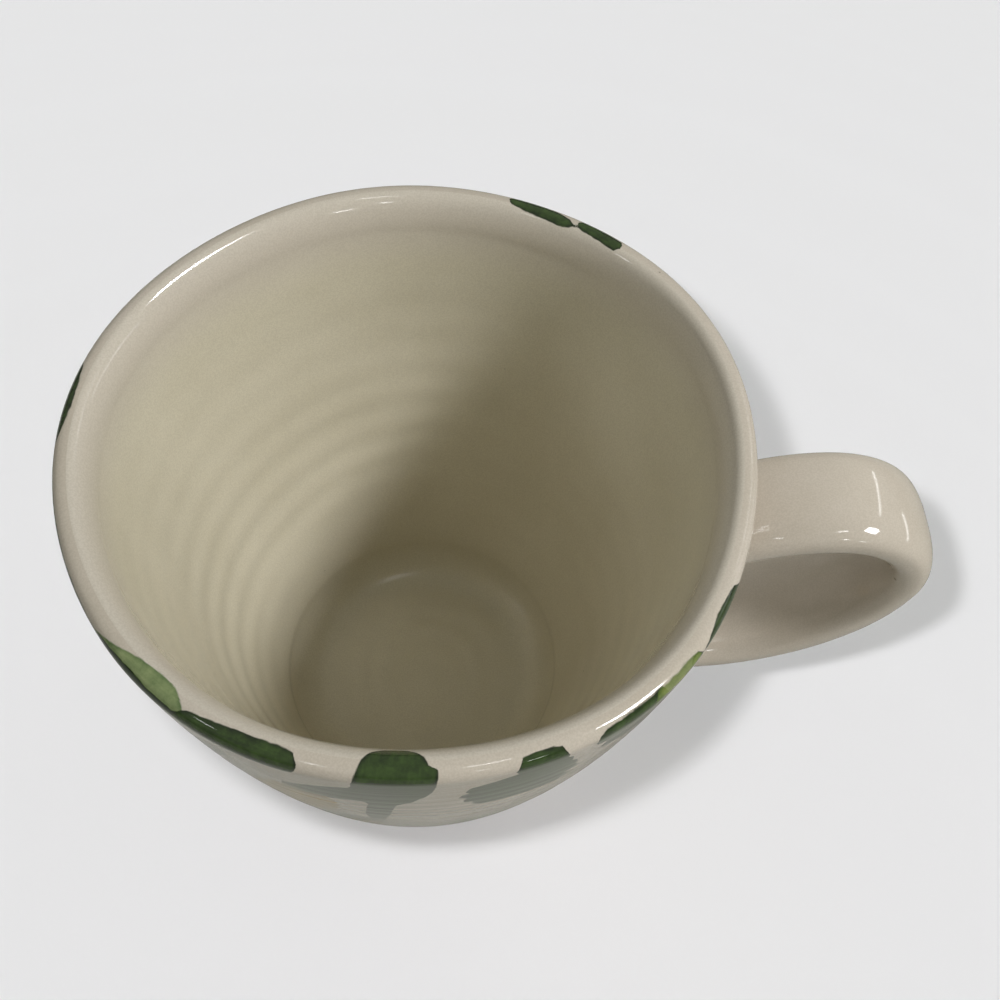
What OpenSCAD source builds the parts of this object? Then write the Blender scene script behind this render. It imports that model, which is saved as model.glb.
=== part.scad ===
// Hand-thrown stoneware mug with a pulled strap handle.
// Frame: origin at the centre of the foot ring's resting plane, +Z up the mug's axis,
// +X towards the handle. Every size is in millimetres.

/* [Cup] */
// Diameter across the mouth, glaze included
mouth_d = 90; // [88:1:94]
// Height from the table to the crest of the lip
cup_h = 95; // [94:1:100]
// Diameter across the foot, glaze included
foot_d = 52.2; // [50.2:0.2:54.2]
// How far the middle of the wall swells out past a straight line from foot to lip
wall_bulge = 3.2; // [2.8:0.1:3.6]
// Thickness of the wall just above the floor
wall_t = 5.6; // [4.8:0.1:6.5]
// Thickness of the lip
lip_t = 4.2; // [3.4:0.1:4.8]
// Height of the rounded crown of the lip
lip_crown = 2; // [1.2:0.1:2.4]
// Squareness of the lip's section: 2 is a plain round, more is flatter on top
lip_squareness = 2.4; // [2:0.1:3]

/* [Floor and foot] */
// Height of the drinking floor above the table
floor_z = 9.3; // [8:0.1:11]
// Radius of the cove between the wall and the floor
cove_r = 7; // [3:0.5:8]
// Height of the turned foot ring
foot_h = 3.6; // [2.5:0.1:4.5]
// Width of the foot ring's wall
foot_w = 4.2; // [3:0.1:5.5]
// Bevel on the foot ring's two edges
foot_bevel = 0.8; // [0.3:0.1:1.2]

/* [Glaze] */
// Thickness of the fired glaze
glaze_t = 0.4; // [0.3:0.05:0.6]
// Height above the foot ring at which the outside glaze stops
bare_band = 1.2; // [0.5:0.1:2]

/* [Handle] */
// Width of the strap, glaze included
strap_w = 15.4; // [13.4:0.2:18]
// Thickness of the strap, glaze included
strap_t = 6.9; // [5.9:0.1:7.3]
// Height of the strap's upper end above the table
strap_root_z = 78; // [77:0.5:79]
// Gap between the wall and the middle of the strap's upper end
strap_root_gap = 3.4; // [3:0.1:3.8]
// Upward slope of the strap where it leaves the cup, in degrees
strap_rise = 31; // [29:1:33]
// Radius of the strap's crown
crown_r = 28; // [27:0.5:30]
// Radius of the strap's tight outer shoulder
shoulder_r = 13.4; // [13:0.1:14]
// Radius of the long run down from the shoulder
run_r = 32; // [30:0.5:34]
// Radius of the tail that curls back to the cup
tail_r = 34; // [33:0.5:35]
// How much wider than the strap each joint spreads where it meets the wall, a side
joint_flare = 1.8; // [1:0.1:2.4]

/* [Hidden] */
$fn = 96;
wall_steps = 24;
curve_steps = 8;
section_count = 20;
station_turn = 6;
root_steps = 4;
joint_l = 4.5;
joint_reach = 9;
crown_turn = 25;
shoulder_turn = 100;
run_turn = 27;
tail_turn = 58;
strap_bends = [[crown_r, crown_turn], [shoulder_r, shoulder_turn],
               [run_r, run_turn], [tail_r, tail_turn]];
bend_count = len(strap_bends);
wall_top = cup_h - lip_crown;
crest_r = (mouth_d - lip_t) / 2;
glaze_line = foot_h + bare_band;
foot_inner_r = foot_d / 2 - foot_w;
cove_top = floor_z + cove_r;

glaze_cream = [0.80, 0.76, 0.69];
glaze_white = [0.84, 0.81, 0.75];
clay_buff = [0.72, 0.62, 0.50];
slip_buff = [0.66, 0.56, 0.45];

// ---- Outlines of the thrown wall. depth is how far a surface lies under the glaze. ----

function reversed(points) = [for (i = [len(points) - 1 : -1 : 0]) points[i]];

function outer_r(z) =
    let (u = z / wall_top)
    foot_d / 2 + (mouth_d - foot_d) / 2 * u + 4 * wall_bulge * u * (1 - u);

function inner_r(z) =
    let (u = z / wall_top)
    outer_r(z) - wall_t + (wall_t - lip_t) * u * u;

// One side of the lip from its crest down: side is 1 outside and -1 inside.
function lip_side(side, depth) =
    [for (i = [0 : curve_steps - 1])
        let (a = 90 * (1 - i / curve_steps), p = 2 / lip_squareness)
        [crest_r + side * (lip_t / 2 - depth) * pow(cos(a), p),
         wall_top + (lip_crown - depth) * pow(sin(a), p)]];

function outer_outline(bottom_z, depth) = concat(
    lip_side(1, depth),
    [for (i = [0 : wall_steps])
        let (z = wall_top + (bottom_z - wall_top) * i / wall_steps)
        [outer_r(z) - depth, z]]);

function inner_outline(depth) = concat(
    lip_side(-1, depth),
    [for (i = [0 : wall_steps - 1])
        let (z = wall_top + (cove_top - wall_top) * i / wall_steps)
        [inner_r(z) + depth, z]],
    [for (i = [0 : curve_steps])
        let (a = 90 * i / curve_steps)
        [inner_r(cove_top) - cove_r + (cove_r + depth) * cos(a),
         cove_top - (cove_r + depth) * sin(a)]],
    [[0, floor_z - depth]]);

// The cup as if it were filled solid, used to cut the joints to the curve of the wall.
module filled_cup(depth) {
    rotate_extrude()
        polygon(concat(outer_outline(foot_h, depth), [[0, foot_h]], [[0, cup_h - depth]]));
}

// ---- Centre line of the strap: arcs that follow on from each other, in the XZ plane. ----

function heading(i) = i == 0 ? strap_rise : heading(i - 1) - strap_bends[i - 1][1];

function bend_centre(i) =
    place(i) + strap_bends[i][0] * [sin(heading(i)), -cos(heading(i))];

function place(i) =
    i == 0
    ? [outer_r(strap_root_z) + strap_root_gap, strap_root_z]
    : bend_centre(i - 1) + strap_bends[i - 1][0] * [-sin(heading(i)), cos(heading(i))];

// A station is a place on the centre line: [x and z, heading, spread of the section].
function strap_stations() = concat(
    [for (i = [0 : bend_count - 1])
        let (steps = ceil(strap_bends[i][1] / station_turn))
        for (k = [0 : steps - 1])
            let (h = heading(i) - strap_bends[i][1] * k / steps)
            [bend_centre(i) + strap_bends[i][0] * [-sin(h), cos(h)], h, 0]],
    [[place(bend_count), heading(bend_count), 0]]);

// Stations of a joint, which spreads in a hollow curve as it nears the wall.
// way is -1 back from the strap's upper end and 1 on from its lower end.
function root_stations(i, way) =
    [for (s = concat([for (k = [0 : root_steps]) joint_l * k / root_steps], [joint_reach]))
        [place(i) + way * s * [cos(heading(i)), sin(heading(i))], heading(i),
         joint_flare * (1 - cos(min(90, 90 * s / joint_l)))]];

// Round-edged section of the strap, thickness first and width second.
function section_points(grow) =
    let (edge = strap_t / 2 + grow, half = section_count / 2)
    [for (side = [1, -1])
        for (k = [0 : half - 1])
            let (a = 180 * k / (half - 1))
            [side * edge * cos(a), side * ((strap_w - strap_t) / 2 + edge * sin(a))]];

// One closed solid through a ring of section points at each station.
module sweep(stations, depth) {
    last = len(stations) - 1;
    points = [for (st = stations)
        for (p = section_points(st[2] - depth))
            [st[0][0] - sin(st[1]) * p[0], p[1], st[0][1] + cos(st[1]) * p[0]]];
    sides = [for (i = [0 : last - 1])
        for (k = [0 : section_count - 1])
            let (a = i * section_count, n = (k + 1) % section_count)
            [a + k, a + n, a + section_count + n, a + section_count + k]];
    first_cap = [for (k = [section_count - 1 : -1 : 0]) k];
    last_cap = [for (k = [0 : section_count - 1]) last * section_count + k];
    polyhedron(points, concat([first_cap], sides, [last_cap]));
}

module upper_root(depth) {
    sweep(reversed(root_stations(0, -1)), depth);
}

module lower_root(depth) {
    sweep(root_stations(bend_count, 1), depth);
}

// ---- The pieces ----

// Thrown wall and floor, one piece of fired clay.
module clay_cup() {
    color(clay_buff)
        rotate_extrude()
            polygon(concat(outer_outline(foot_h, glaze_t), [[0, foot_h]],
                           reversed(inner_outline(glaze_t))));
}

// Ring turned under the floor, left bare so that it doesn't stick to the kiln shelf.
module foot_ring() {
    color(clay_buff)
        rotate_extrude()
            polygon([
                [foot_inner_r, foot_h],
                [outer_r(foot_h) - glaze_t, foot_h],
                [outer_r(foot_bevel) - glaze_t, foot_bevel],
                [outer_r(0) - glaze_t - foot_bevel, 0],
                [foot_inner_r + foot_bevel, 0],
                [foot_inner_r, foot_bevel]]);
}

// Pulled strap between its two joints.
module handle_strap() {
    color(clay_buff)
        sweep(strap_stations(), glaze_t);
}

// Clay and slip that lute the strap's upper end to the wall.
module upper_handle_joint() {
    color(slip_buff)
        difference() {
            upper_root(glaze_t);
            filled_cup(glaze_t);
        }
}

// Clay and slip that lute the strap's lower end to the wall.
module lower_handle_joint() {
    color(slip_buff)
        difference() {
            lower_root(glaze_t);
            filled_cup(glaze_t);
        }
}

// Glass coat inside the cup, from the crest of the lip down to the floor.
module inside_glaze() {
    color(glaze_white)
        rotate_extrude()
            polygon(concat(inner_outline(0), reversed(inner_outline(glaze_t))));
}

// Glass coat outside the cup, open where the two joints reach the clay.
module outside_glaze() {
    color(glaze_cream)
        difference() {
            rotate_extrude()
                polygon(concat(outer_outline(glaze_line, 0),
                               reversed(outer_outline(glaze_line, glaze_t))));
            upper_root(glaze_t);
            lower_root(glaze_t);
        }
}

// Glass coat in the recess under the floor.
module base_glaze() {
    color(glaze_cream)
        translate([0, 0, foot_h - glaze_t])
            cylinder(r = foot_inner_r - bare_band, h = glaze_t);
}

// Glass coat round the strap and over both joints.
module handle_glaze() {
    stations = concat(reversed(root_stations(0, -1)),
                      [for (i = [1 : len(strap_stations()) - 2]) strap_stations()[i]],
                      root_stations(bend_count, 1));
    color(glaze_cream)
        difference() {
            sweep(stations, 0);
            sweep(stations, glaze_t);
            filled_cup(0);
        }
}

clay_cup();
foot_ring();
handle_strap();
upper_handle_joint();
lower_handle_joint();
inside_glaze();
outside_glaze();
base_glaze();
handle_glaze();
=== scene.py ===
"""Looks of a hand-thrown stoneware mug with a pulled strap handle and brushed leaves.

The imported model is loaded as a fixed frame. Each piece of the mug is then built again as a
potter leaves it, a little out of round and with finger rings inside, and takes the place of
the plain piece of the same name.
"""

import logging
from dataclasses import dataclass, field
from enum import Enum
from math import atan2, cos, degrees, hypot, log2, pi, radians, sin

import bmesh
import bpy
import numpy as np
from mathutils import Matrix, Vector


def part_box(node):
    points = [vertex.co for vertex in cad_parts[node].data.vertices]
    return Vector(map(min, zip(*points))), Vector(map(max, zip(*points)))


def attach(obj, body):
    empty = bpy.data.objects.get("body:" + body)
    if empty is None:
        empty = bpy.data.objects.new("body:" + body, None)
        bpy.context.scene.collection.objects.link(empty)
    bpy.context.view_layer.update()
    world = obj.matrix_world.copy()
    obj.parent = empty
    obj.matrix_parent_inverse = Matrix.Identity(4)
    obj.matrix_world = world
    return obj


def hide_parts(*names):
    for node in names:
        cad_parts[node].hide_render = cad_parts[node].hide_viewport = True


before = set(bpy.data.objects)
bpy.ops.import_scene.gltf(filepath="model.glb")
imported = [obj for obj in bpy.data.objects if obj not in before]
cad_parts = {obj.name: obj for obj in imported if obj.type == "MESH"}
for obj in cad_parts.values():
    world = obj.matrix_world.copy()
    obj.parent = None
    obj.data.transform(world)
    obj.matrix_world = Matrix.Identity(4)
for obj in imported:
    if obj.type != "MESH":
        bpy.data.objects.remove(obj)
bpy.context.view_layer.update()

log = logging.getLogger("mug")

MM = 0.001
FULL_TURN = 2 * pi
FOOT_R = 26.1 * MM
MERGE_DISTANCE = 1e-7
MUG_GROUP = "lights on the mug"
HANDLE_GROUP = "lights on the handle"
FLOOR_GROUP = "lights on the floor"

Profile = list[tuple[float, float]]
Colour = tuple[float, float, float]


# ---------------------------------------------------------------- shape of the thrown wall


class Face(Enum):
    """Which face of the wall an outline follows."""

    INSIDE = -1
    OUTSIDE = 1


@dataclass(frozen=True)
class WallForm:
    """Section of the thrown cup, in metres, with heights from the table.

    A depth is how far a surface lies under the skin of the glaze.
    """

    mouth_r: float
    cup_h: float
    foot_r: float
    foot_h: float
    glaze_line: float
    floor_z: float
    bulge: float = 3.2 * MM
    wall_t: float = 5.6 * MM
    lip_t: float = 4.2 * MM
    lip_crown: float = 2 * MM
    lip_squareness: float = 2.4
    inner_squareness: float = 2.0
    inner_crown: float = 5.6 * MM
    cove_r: float = 7.5 * MM
    foot_w: float = 4.2 * MM
    foot_bevel: float = 0.8 * MM
    glaze_t: float = 0.4 * MM
    lip_steps: int = 18
    cove_steps: int = 12

    @property
    def wall_top(self) -> float:
        """Height at which the straight wall ends and the lip's crown begins."""
        return self.cup_h - self.lip_crown

    @property
    def crest_r(self) -> float:
        """Radius of the lip's crest."""
        return self.mouth_r - self.lip_t / 2

    def outer_r(self, z: float) -> float:
        """Gives the radius of the outside skin.

        Args:
            z: a height, or an array of them.

        Returns:
            The radius at each.
        """
        share = z / self.wall_top
        straight = self.foot_r + (self.mouth_r - self.foot_r) * share
        return straight + 4 * self.bulge * share * (1 - share)

    def inner_r(self, z: float) -> float:
        """Radius of the inside skin at a height; works on numbers and on arrays."""
        share = z / self.wall_top
        return self.outer_r(z) - self.wall_t + (self.wall_t - self.lip_t) * share**2

    def lip(self, face: Face, depth: float) -> Profile:
        """Outlines one side of the lip from its crest down.

        Args:
            face: side of the wall to follow.
            depth: distance under the glaze's skin.

        Returns:
            Points (radius, height), with a first short step that keeps the crest smooth.
        """
        quarter = [90.0, 89.97] + [90 * (1 - i / self.lip_steps) for i in range(1, self.lip_steps)]
        crown, power = self.lip_crown, 2 / self.lip_squareness
        side = self.outer_r(self.wall_top) - depth
        if face is Face.INSIDE:
            crown, power = self.inner_crown, 2 / self.inner_squareness
            side = self.inner_r(self.cup_h - crown) + depth
        half = abs(side - self.crest_r)
        return [
            (self.crest_r + face.value * half * abs(cos(radians(a))) ** power,
             self.cup_h - crown + (crown - depth) * sin(radians(a)) ** power)
            for a in quarter
        ]

    def outside(self, bottom_z: float, depth: float, steps: int) -> Profile:
        """Outlines the outside from the lip's crest down to a height.

        Args:
            bottom_z: height of the last point.
            depth: distance under the glaze's skin.
            steps: number of steps down the wall.

        Returns:
            Points (radius, height) from the crest down.
        """
        heights = np.linspace(self.wall_top, bottom_z, steps + 1)
        return self.lip(Face.OUTSIDE, depth) + [(self.outer_r(z) - depth, z) for z in heights]

    def inside(self, depth: float, steps: int, floor_steps: int) -> Profile:
        """Outlines the inside from the lip's crest to the middle of the floor.

        Args:
            depth: distance under the glaze's skin.
            steps: number of steps down the wall.
            floor_steps: number of steps across the floor.

        Returns:
            Points (radius, height) from the crest to the axis.
        """
        cove_top = self.floor_z + self.cove_r
        heights = np.linspace(self.cup_h - self.inner_crown, cove_top, steps + 1)[:-1]
        wall = [(self.inner_r(z) + depth, z) for z in heights]
        cove_mid = self.inner_r(cove_top) - self.cove_r
        sweep = self.cove_r + depth
        cove = [(cove_mid + sweep * cos(a), cove_top - sweep * sin(a))
                for a in np.linspace(0, pi / 2, self.cove_steps + 1)]
        floor = [(cove_mid * (1 - i / floor_steps), self.floor_z - depth)
                 for i in range(1, floor_steps + 1)]
        return self.lip(Face.INSIDE, depth) + wall + cove + floor


@dataclass(frozen=True)
class ThrowingHand:
    """Unevenness that hands leave in clay thrown on a wheel. Lengths are in metres."""

    form: WallForm
    sways: tuple[tuple[int, float, float], ...] = (
        (0, 0.2 * MM, 0.0), (2, 0.6 * MM, 65.0), (3, 0.5 * MM, 155.0), (5, 0.25 * MM, 135.0))
    lifts: tuple[tuple[int, float, float], ...] = (
        (1, 0.7 * MM, 115.0), (2, 0.85 * MM, -155.0), (3, 0.45 * MM, 60.0))
    ring_depth: float = 0.10 * MM
    ring_pitch: float = 7.2 * MM
    ring_middle: float = 44 * MM
    ring_spread: float = 17 * MM
    comb_depth: float = 0.035 * MM
    comb_pitches: tuple[float, float] = (1.9 * MM, 3.1 * MM)
    lip_fade: float = 16 * MM
    axis_fade: float = 8 * MM
    dip_depth: float = 0.07 * MM
    dip_pitch: float = 5.5 * MM
    dip_r: float = 17 * MM
    dip_fade: float = 5 * MM

    @staticmethod
    def waves(parts: tuple[tuple[int, float, float], ...], angle: np.ndarray) -> np.ndarray:
        """Adds up waves round the cup.

        Args:
            parts: each wave's number of crests, height and turn in degrees.
            angle: angle round the cup, in radians.

        Returns:
            The summed height at each angle.
        """
        return sum(size * np.cos(count * angle - radians(turn)) for count, size, turn in parts)

    def work(self, mesh: bpy.types.Mesh) -> None:
        """Moves the points of a truly turned mesh to where the potter's hands left them.

        Args:
            mesh: the mesh; it is changed.
        """
        mesh.vertices.foreach_set("co", self.moved(points_of(mesh)).ravel())
        mesh.update()

    def moved(self, points: np.ndarray) -> np.ndarray:
        """Gives the hand-worked place of points on or in the wall.

        Args:
            points: places in metres, one per row.

        Returns:
            A new array of places.
        """
        x, y, z = points.T
        radius, angle = np.hypot(x, y), np.arctan2(y, x)
        share = np.clip(z / self.form.wall_top, 0, 1)
        height = np.clip(z, 0, self.form.wall_top)
        sway = self.waves(self.sways, angle) * share**1.5
        lift = self.waves(self.lifts, angle) * share**3
        middle = (self.form.outer_r(height) + self.form.inner_r(height)) / 2
        marks = np.where(radius < middle, self.rings(angle, z), self.combing(angle, z))
        fade = np.clip((self.form.wall_top - z) / self.lip_fade, 0, 1) ** 1.3
        on_axis = np.clip(radius / self.axis_fade, 0, 1)
        moved_r = radius + (sway + marks * fade) * on_axis
        moved_z = z + lift + self.floor_dip(angle, radius, z) * on_axis
        return np.stack([moved_r * np.cos(angle), moved_r * np.sin(angle), moved_z], axis=1)

    def rings(self, angle: np.ndarray, z: np.ndarray) -> np.ndarray:
        """Shapes the finger rings inside, a spiral deepest half way up and far from the handle.

        Args:
            angle: angles round the cup, in radians.
            z: heights.

        Returns:
            How far each place moves outwards.
        """
        turn = angle / FULL_TURN
        spiral = np.cos(FULL_TURN * (z / self.ring_pitch + turn) + 0.7 * np.sin(3 * angle))
        swell = 0.25 + 0.75 * np.exp(-(((z - self.ring_middle) / self.ring_spread) ** 2))
        return -self.ring_depth * spiral * swell * (0.6 - 0.4 * np.cos(angle + 0.45))

    def combing(self, angle: np.ndarray, z: np.ndarray) -> np.ndarray:
        """Shapes the fine lines that the rib leaves outside.

        Args:
            angle: angles round the cup, in radians.
            z: heights.

        Returns:
            How far each place moves outwards.
        """
        turn = angle / FULL_TURN
        fine, coarse = self.comb_pitches
        return self.comb_depth * (np.cos(FULL_TURN * (z / fine + turn))
                                  + 0.6 * np.cos(FULL_TURN * (z / coarse - turn)))

    def floor_dip(self, angle: np.ndarray, radius: np.ndarray, z: np.ndarray) -> np.ndarray:
        """Shapes the low spiral in the middle of the floor.

        Args:
            angle: angles round the cup, in radians.
            radius: distances from the axis.
            z: heights.

        Returns:
            How far each place rises.
        """
        on_floor = np.clip(1 - np.abs(z - self.form.floor_z) / (0.5 * MM), 0, 1)
        in_middle = np.clip((self.dip_r - radius) / self.dip_fade, 0, 1)
        spiral = np.cos(FULL_TURN * radius / self.dip_pitch + angle)
        return self.dip_depth * spiral * on_floor * in_middle

    def skin_r(self, angle: float, z: float) -> float:
        """Gives the radius of the worked outside skin.

        Args:
            angle: angle round the cup, in radians.
            z: height.

        Returns:
            The radius.
        """
        plain = self.form.outer_r(z)
        place = self.moved(np.array([[plain * cos(angle), plain * sin(angle), z]]))[0]
        return hypot(place[0], place[1])


# ---------------------------------------------------------------- mesh helpers


def spun(profile: Profile, steps: int, ring: bool) -> bmesh.types.BMesh:
    """Spins an outline once round the cup's axis.

    Args:
        profile: points (radius, height); an open one starts and ends on the axis.
        steps: number of steps in the turn.
        ring: whether the last point joins the first.

    Returns:
        A closed bmesh with its faces pointing outwards.
    """
    bm = bmesh.new()
    verts = [bm.verts.new((r, 0, z)) for r, z in profile]
    edges = [bm.edges.new(pair) for pair in zip(verts, verts[1:])]
    if ring:
        edges.append(bm.edges.new((verts[-1], verts[0])))
    bmesh.ops.spin(bm, geom=verts + edges, cent=(0, 0, 0), axis=(0, 0, 1), dvec=(0, 0, 0),
                   angle=FULL_TURN, steps=steps, use_merge=True, use_duplicate=False)
    bmesh.ops.remove_doubles(bm, verts=bm.verts, dist=MERGE_DISTANCE)
    bmesh.ops.recalc_face_normals(bm, faces=bm.faces)
    return bm


def finished_mesh(bm: bmesh.types.BMesh, name: str, sharp_angle: float = 50.0) -> bpy.types.Mesh:
    """Turns a bmesh into a smooth mesh with its corners kept sharp.

    Args:
        bm: the shape; it is freed.
        name: the mesh's name.
        sharp_angle: corners of more degrees than this stay sharp.

    Returns:
        The new mesh.
    """
    for face in bm.faces:
        face.smooth = True
    for edge in bm.edges:
        edge.smooth = len(edge.link_faces) != 2 or edge.calc_face_angle(0) < radians(sharp_angle)
    mesh = bpy.data.meshes.new(name)
    bm.to_mesh(mesh)
    bm.free()
    return mesh


def points_of(mesh: bpy.types.Mesh) -> np.ndarray:
    """Reads a mesh's points.

    Args:
        mesh: the mesh.

    Returns:
        Places in metres, one per row.
    """
    flat = np.empty(len(mesh.vertices) * 3)
    mesh.vertices.foreach_get("co", flat)
    return flat.reshape(-1, 3)


def lit_group(name: str) -> bpy.types.Collection:
    """Finds or starts a collection that only says what some lights shine on."""
    return bpy.data.collections.get(name) or bpy.data.collections.new(name)


def placed(mesh: bpy.types.Mesh, finish: bpy.types.Material, node: str) -> bpy.types.Object:
    """Puts a finished piece in the scene in place of the plain node of the frame.

    Args:
        mesh: the piece's mesh, already in its place.
        finish: its material.
        node: the CAD node that it stands for.

    Returns:
        The new object.
    """
    piece = bpy.data.objects.new(mesh.name, mesh)
    bpy.context.scene.collection.objects.link(piece)
    lit_group(MUG_GROUP).objects.link(piece)
    mesh.materials.append(finish)
    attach(piece, "root")
    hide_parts(node)
    log.info("%s: %d points, %d faces", piece.name, len(mesh.vertices), len(mesh.polygons))
    return piece


# ---------------------------------------------------------------- shader helpers


@dataclass
class Nodes:
    """Short calls that place and wire nodes in one node tree."""

    tree: bpy.types.NodeTree

    def add(self, kind: str, **settings: object) -> bpy.types.Node:
        """Adds a node and sets its properties, and its sockets by their names.

        Args:
            kind: the node's type name without the ShaderNode prefix.
            settings: properties, or a dictionary called inputs of socket values.

        Returns:
            The new node.
        """
        node = self.tree.nodes.new("ShaderNode" + kind)
        for key, value in settings.items():
            if key == "inputs":
                for socket, number in value.items():
                    node.inputs[socket].default_value = number
            else:
                setattr(node, key, value)
        return node

    def wire(self, source: bpy.types.NodeSocket, target: bpy.types.NodeSocket) -> None:
        """Links one socket to another."""
        self.tree.links.new(source, target)

    def math(self, operation: str, *values: object, clamp: bool = False) -> bpy.types.NodeSocket:
        """Adds a Math node.

        Args:
            operation: the operation's name.
            values: numbers or sockets, in order.
            clamp: whether the result stays between 0 and 1.

        Returns:
            The result's socket.
        """
        node = self.add("Math", operation=operation, use_clamp=clamp)
        for socket, value in zip(node.inputs, values):
            self.feed(value, socket)
        return node.outputs[0]

    def plus(self, first: object, second: object, clamp: bool = False) -> bpy.types.NodeSocket:
        """Adds two values."""
        return self.math("ADD", first, second, clamp=clamp)

    def minus(self, first: object, second: object, clamp: bool = False) -> bpy.types.NodeSocket:
        """Takes the second value from the first."""
        return self.math("SUBTRACT", first, second, clamp=clamp)

    def times(self, first: object, second: object) -> bpy.types.NodeSocket:
        """Multiplies two values."""
        return self.math("MULTIPLY", first, second)

    def feed(self, value: object, socket: bpy.types.NodeSocket) -> None:
        """Wires an input, or sets its value.

        Args:
            value: a socket, a number or a colour.
            socket: the input.
        """
        if isinstance(value, bpy.types.NodeSocket):
            self.wire(value, socket)
        elif isinstance(value, tuple) and len(value) == 3 and socket.type == "RGBA":
            socket.default_value = (*value, 1)
        else:
            socket.default_value = value

    def blend(self, share: object, low: object, high: object,
              mode: str = "MIX") -> bpy.types.NodeSocket:
        """Mixes two colours.

        Args:
            share: 0 for low and 1 for high, a number or a socket.
            low: first colour or socket.
            high: second colour or socket.
            mode: the blend mode.

        Returns:
            The mixed colour's socket.
        """
        node = self.add("Mix", data_type="RGBA", blend_type=mode)
        self.feed(share, node.inputs[0])
        self.feed(low, node.inputs[6])
        self.feed(high, node.inputs[7])
        return node.outputs[2]

    def noise(self, where: bpy.types.NodeSocket, scale: float, detail: float = 2.0,
              roughness: float = 0.5) -> bpy.types.NodeSocket:
        """Adds a noise whose scale is in features per metre of the given coordinates.

        Args:
            where: coordinates.
            scale: features per unit.
            detail: octaves.
            roughness: strength of the finer octaves.

        Returns:
            The noise's value, from 0 to 1.
        """
        node = self.add("TexNoise", inputs={"Scale": scale, "Detail": detail,
                                            "Roughness": roughness})
        self.wire(where, node.inputs["Vector"])
        return node.outputs["Fac"]

    def stretched(self, where: bpy.types.NodeSocket,
                  scale: tuple[float, float, float]) -> bpy.types.NodeSocket:
        """Scales coordinates unevenly.

        Args:
            where: coordinates.
            scale: the scale along each axis.

        Returns:
            The scaled coordinates.
        """
        node = self.add("Mapping")
        node.inputs["Scale"].default_value = scale
        self.wire(where, node.inputs["Vector"])
        return node.outputs[0]

    def between(self, value: object, low: float, high: float) -> bpy.types.NodeSocket:
        """Rises smoothly from 0 to 1.

        Args:
            value: what it follows, a number or a socket.
            low: the value at which the rise starts.
            high: the value at which it ends.

        Returns:
            The result's socket.
        """
        node = self.add("MapRange", interpolation_type="SMOOTHSTEP",
                        inputs={"From Min": low, "From Max": high})
        self.feed(value, node.inputs["Value"])
        return node.outputs["Result"]

    def group(self, tree: bpy.types.NodeTree, **values: object) -> bpy.types.Node:
        """Places a node group and feeds its inputs.

        Args:
            tree: the group.
            values: what goes into each input, whose name has _ for a space.

        Returns:
            The group's node.
        """
        node = self.add("Group", node_tree=tree)
        for name, value in values.items():
            self.feed(value, node.inputs[name.replace("_", " ").capitalize()])
        return node


def new_group(name: str, inputs: dict[str, object],
              outputs: dict[str, str]) -> tuple[Nodes, bpy.types.Node, bpy.types.Node]:
    """Starts a shader node group.

    Args:
        name: the group's name.
        inputs: each input's name with its first value, or the word vector.
        outputs: each output's name with float or vector.

    Returns:
        The group's nodes, its input node and its output node.
    """
    tree = bpy.data.node_groups.new(name, "ShaderNodeTree")
    for label, value in inputs.items():
        kind = "NodeSocketVector" if value == "vector" else "NodeSocketFloat"
        socket = tree.interface.new_socket(label, in_out="INPUT", socket_type=kind)
        if value != "vector":
            socket.default_value = value
    for label, kind in outputs.items():
        shape = "NodeSocketVector" if kind == "vector" else "NodeSocketFloat"
        tree.interface.new_socket(label, in_out="OUTPUT", socket_type=shape)
    nodes = Nodes(tree)
    return nodes, tree.nodes.new("NodeGroupInput"), tree.nodes.new("NodeGroupOutput")


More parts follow.
